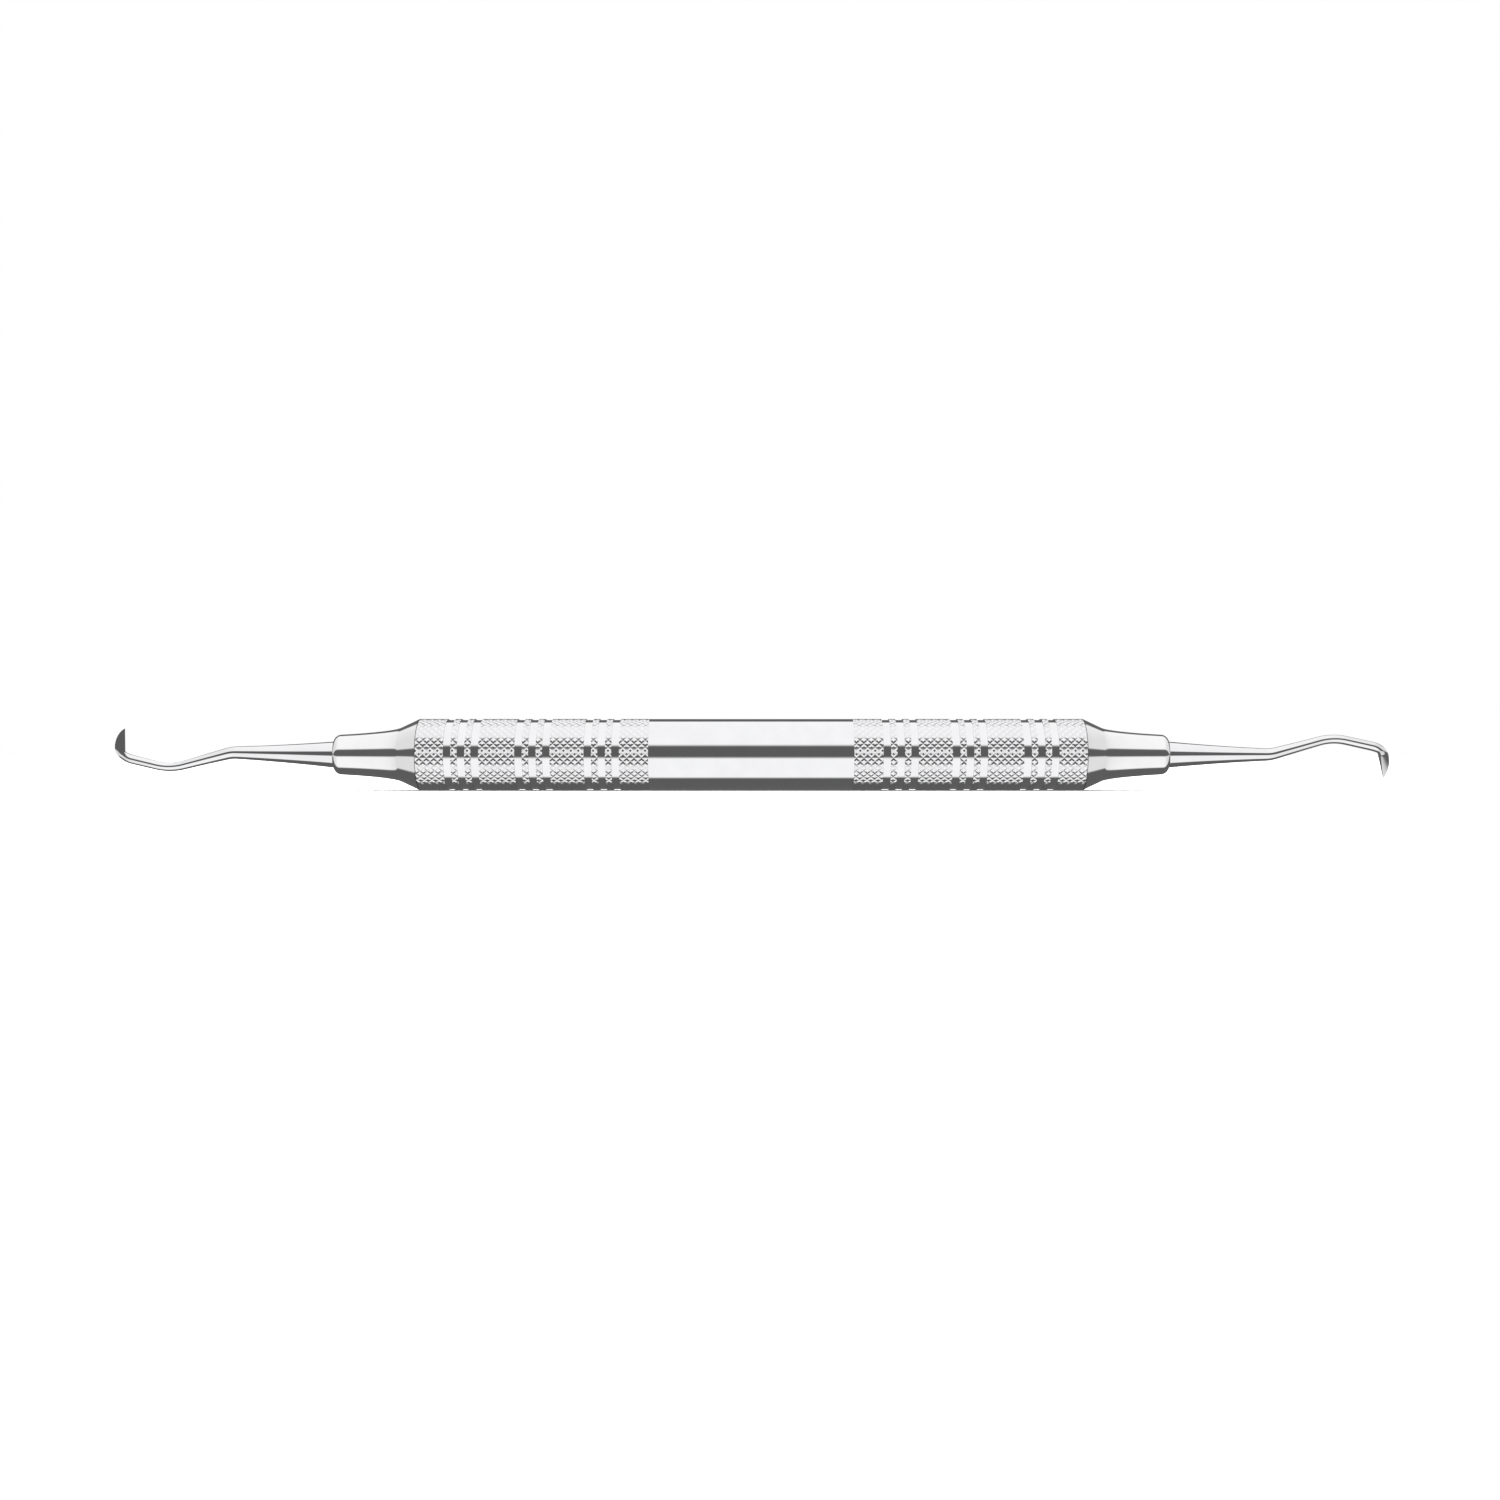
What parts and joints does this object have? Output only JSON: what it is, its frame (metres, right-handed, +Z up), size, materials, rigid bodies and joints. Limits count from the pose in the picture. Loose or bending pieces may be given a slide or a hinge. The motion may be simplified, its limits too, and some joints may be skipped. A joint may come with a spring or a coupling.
{
  "type": "hand scaler",
  "caption": "Double-ended dental hand scaler: a knurled hollow steel handle with ring grooves, tapered end cones and bent, tapered shanks ending in paired sickle blades.",
  "frame": {"origin": "middle of the handle, on its axis", "axes": "+X along the handle towards the right tip, +Y away from the side that shows both blades in profile with the left one pointing up, +Z up"},
  "size_m": [0.1694, 0.0094, 0.0094],
  "materials": {
    "knurled_steel": "fine diamond knurl, bright satin, with polished ring grooves",
    "polished_steel": "turned and polished",
    "blade_steel": "polished shank, finely ground blade"
  },
  "bodies": {
    "root": {"handle_tube": "knurled_steel", "cone_left": "polished_steel", "cone_right": "polished_steel", "tip_left": "blade_steel", "tip_right": "blade_steel"}
  },
  "joints": []
}
